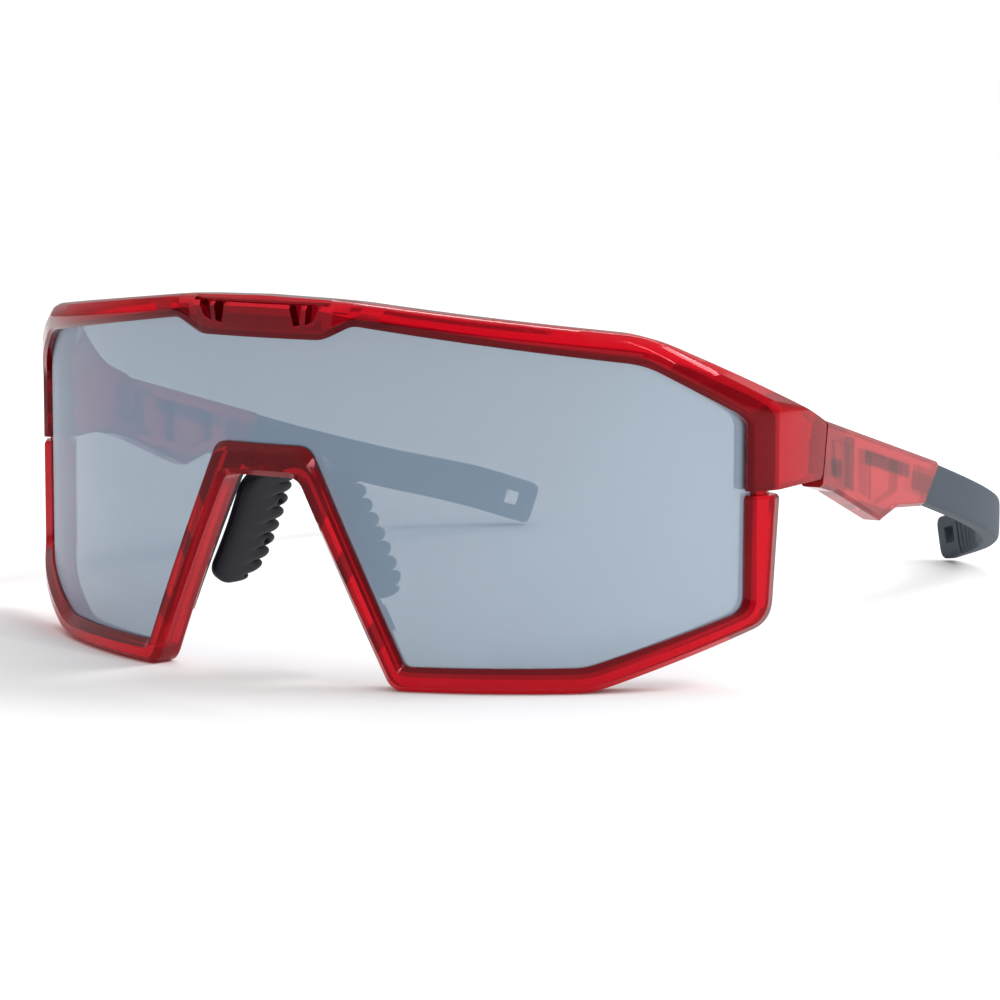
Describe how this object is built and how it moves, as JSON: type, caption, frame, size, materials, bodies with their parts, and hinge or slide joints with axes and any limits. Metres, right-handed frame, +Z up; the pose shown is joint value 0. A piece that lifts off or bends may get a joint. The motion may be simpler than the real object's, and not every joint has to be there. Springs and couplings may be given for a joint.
{
  "type": "wraparound sport sunglasses",
  "caption": "Wraparound shield sunglasses with a one-piece curved mirror lens in a split red frame, folding temples with hooked rubber tips and an adjustable rubber nose piece.",
  "frame": {"origin": "middle of the bounding box, on the table the open glasses stand on", "axes": "+Z up, -Y the way the wearer looks, +X to the wearer's left"},
  "size_m": [0.1486, 0.179, 0.0634],
  "materials": {
    "red_frame": "glossy translucent red",
    "red_temple": "translucent red, satin inside",
    "mirror_lens": "silver-blue mirror coating, partly clear",
    "grey_rubber": "matte dark grey rubber",
    "pad_rubber": "soft matte black rubber with ribs",
    "black_plastic": "matte black moulding",
    "core_plastic": "dark nylon",
    "wire_steel": "plain drawn wire",
    "screw_steel": "plain screw steel"
  },
  "bodies": {
    "front": {"upper_frame": "red_frame", "lower_frame": "red_frame", "lens": "mirror_lens", "nose_clip": "black_plastic", "hinge_screw_left": "screw_steel", "hinge_screw_right": "screw_steel"},
    "left_temple": {"temple_left": "red_temple", "temple_tip_left": "grey_rubber", "temple_core_left": "core_plastic"},
    "right_temple": {"temple_right": "red_temple", "temple_tip_right": "grey_rubber", "temple_core_right": "core_plastic"},
    "left_nose_pad": {"nose_pad_left": "pad_rubber", "nose_wire_left": "wire_steel"},
    "right_nose_pad": {"nose_pad_right": "pad_rubber", "nose_wire_right": "wire_steel"}
  },
  "joints": [
    {"name": "temple_left_fold", "type": "hinge", "parent": "front", "child": "left_temple", "pos_m": [0.0696, -0.02995, 0.0364], "axis": [0, 0, 1], "range_deg": [0, 91]},
    {"name": "temple_right_fold", "type": "hinge", "parent": "front", "child": "right_temple", "pos_m": [-0.0696, -0.02995, 0.0364], "axis": [0, 0, -1], "range_deg": [0, 72]},
    {"name": "nose_pad_left_bend", "type": "hinge", "parent": "front", "child": "left_nose_pad", "pos_m": [0.0058, -0.08185, 0.0358], "axis": [0, 1, 0], "range_deg": [-8, 8]},
    {"name": "nose_pad_right_bend", "type": "hinge", "parent": "front", "child": "right_nose_pad", "pos_m": [-0.0058, -0.08185, 0.0358], "axis": [0, -1, 0], "range_deg": [-8, 8]}
  ]
}
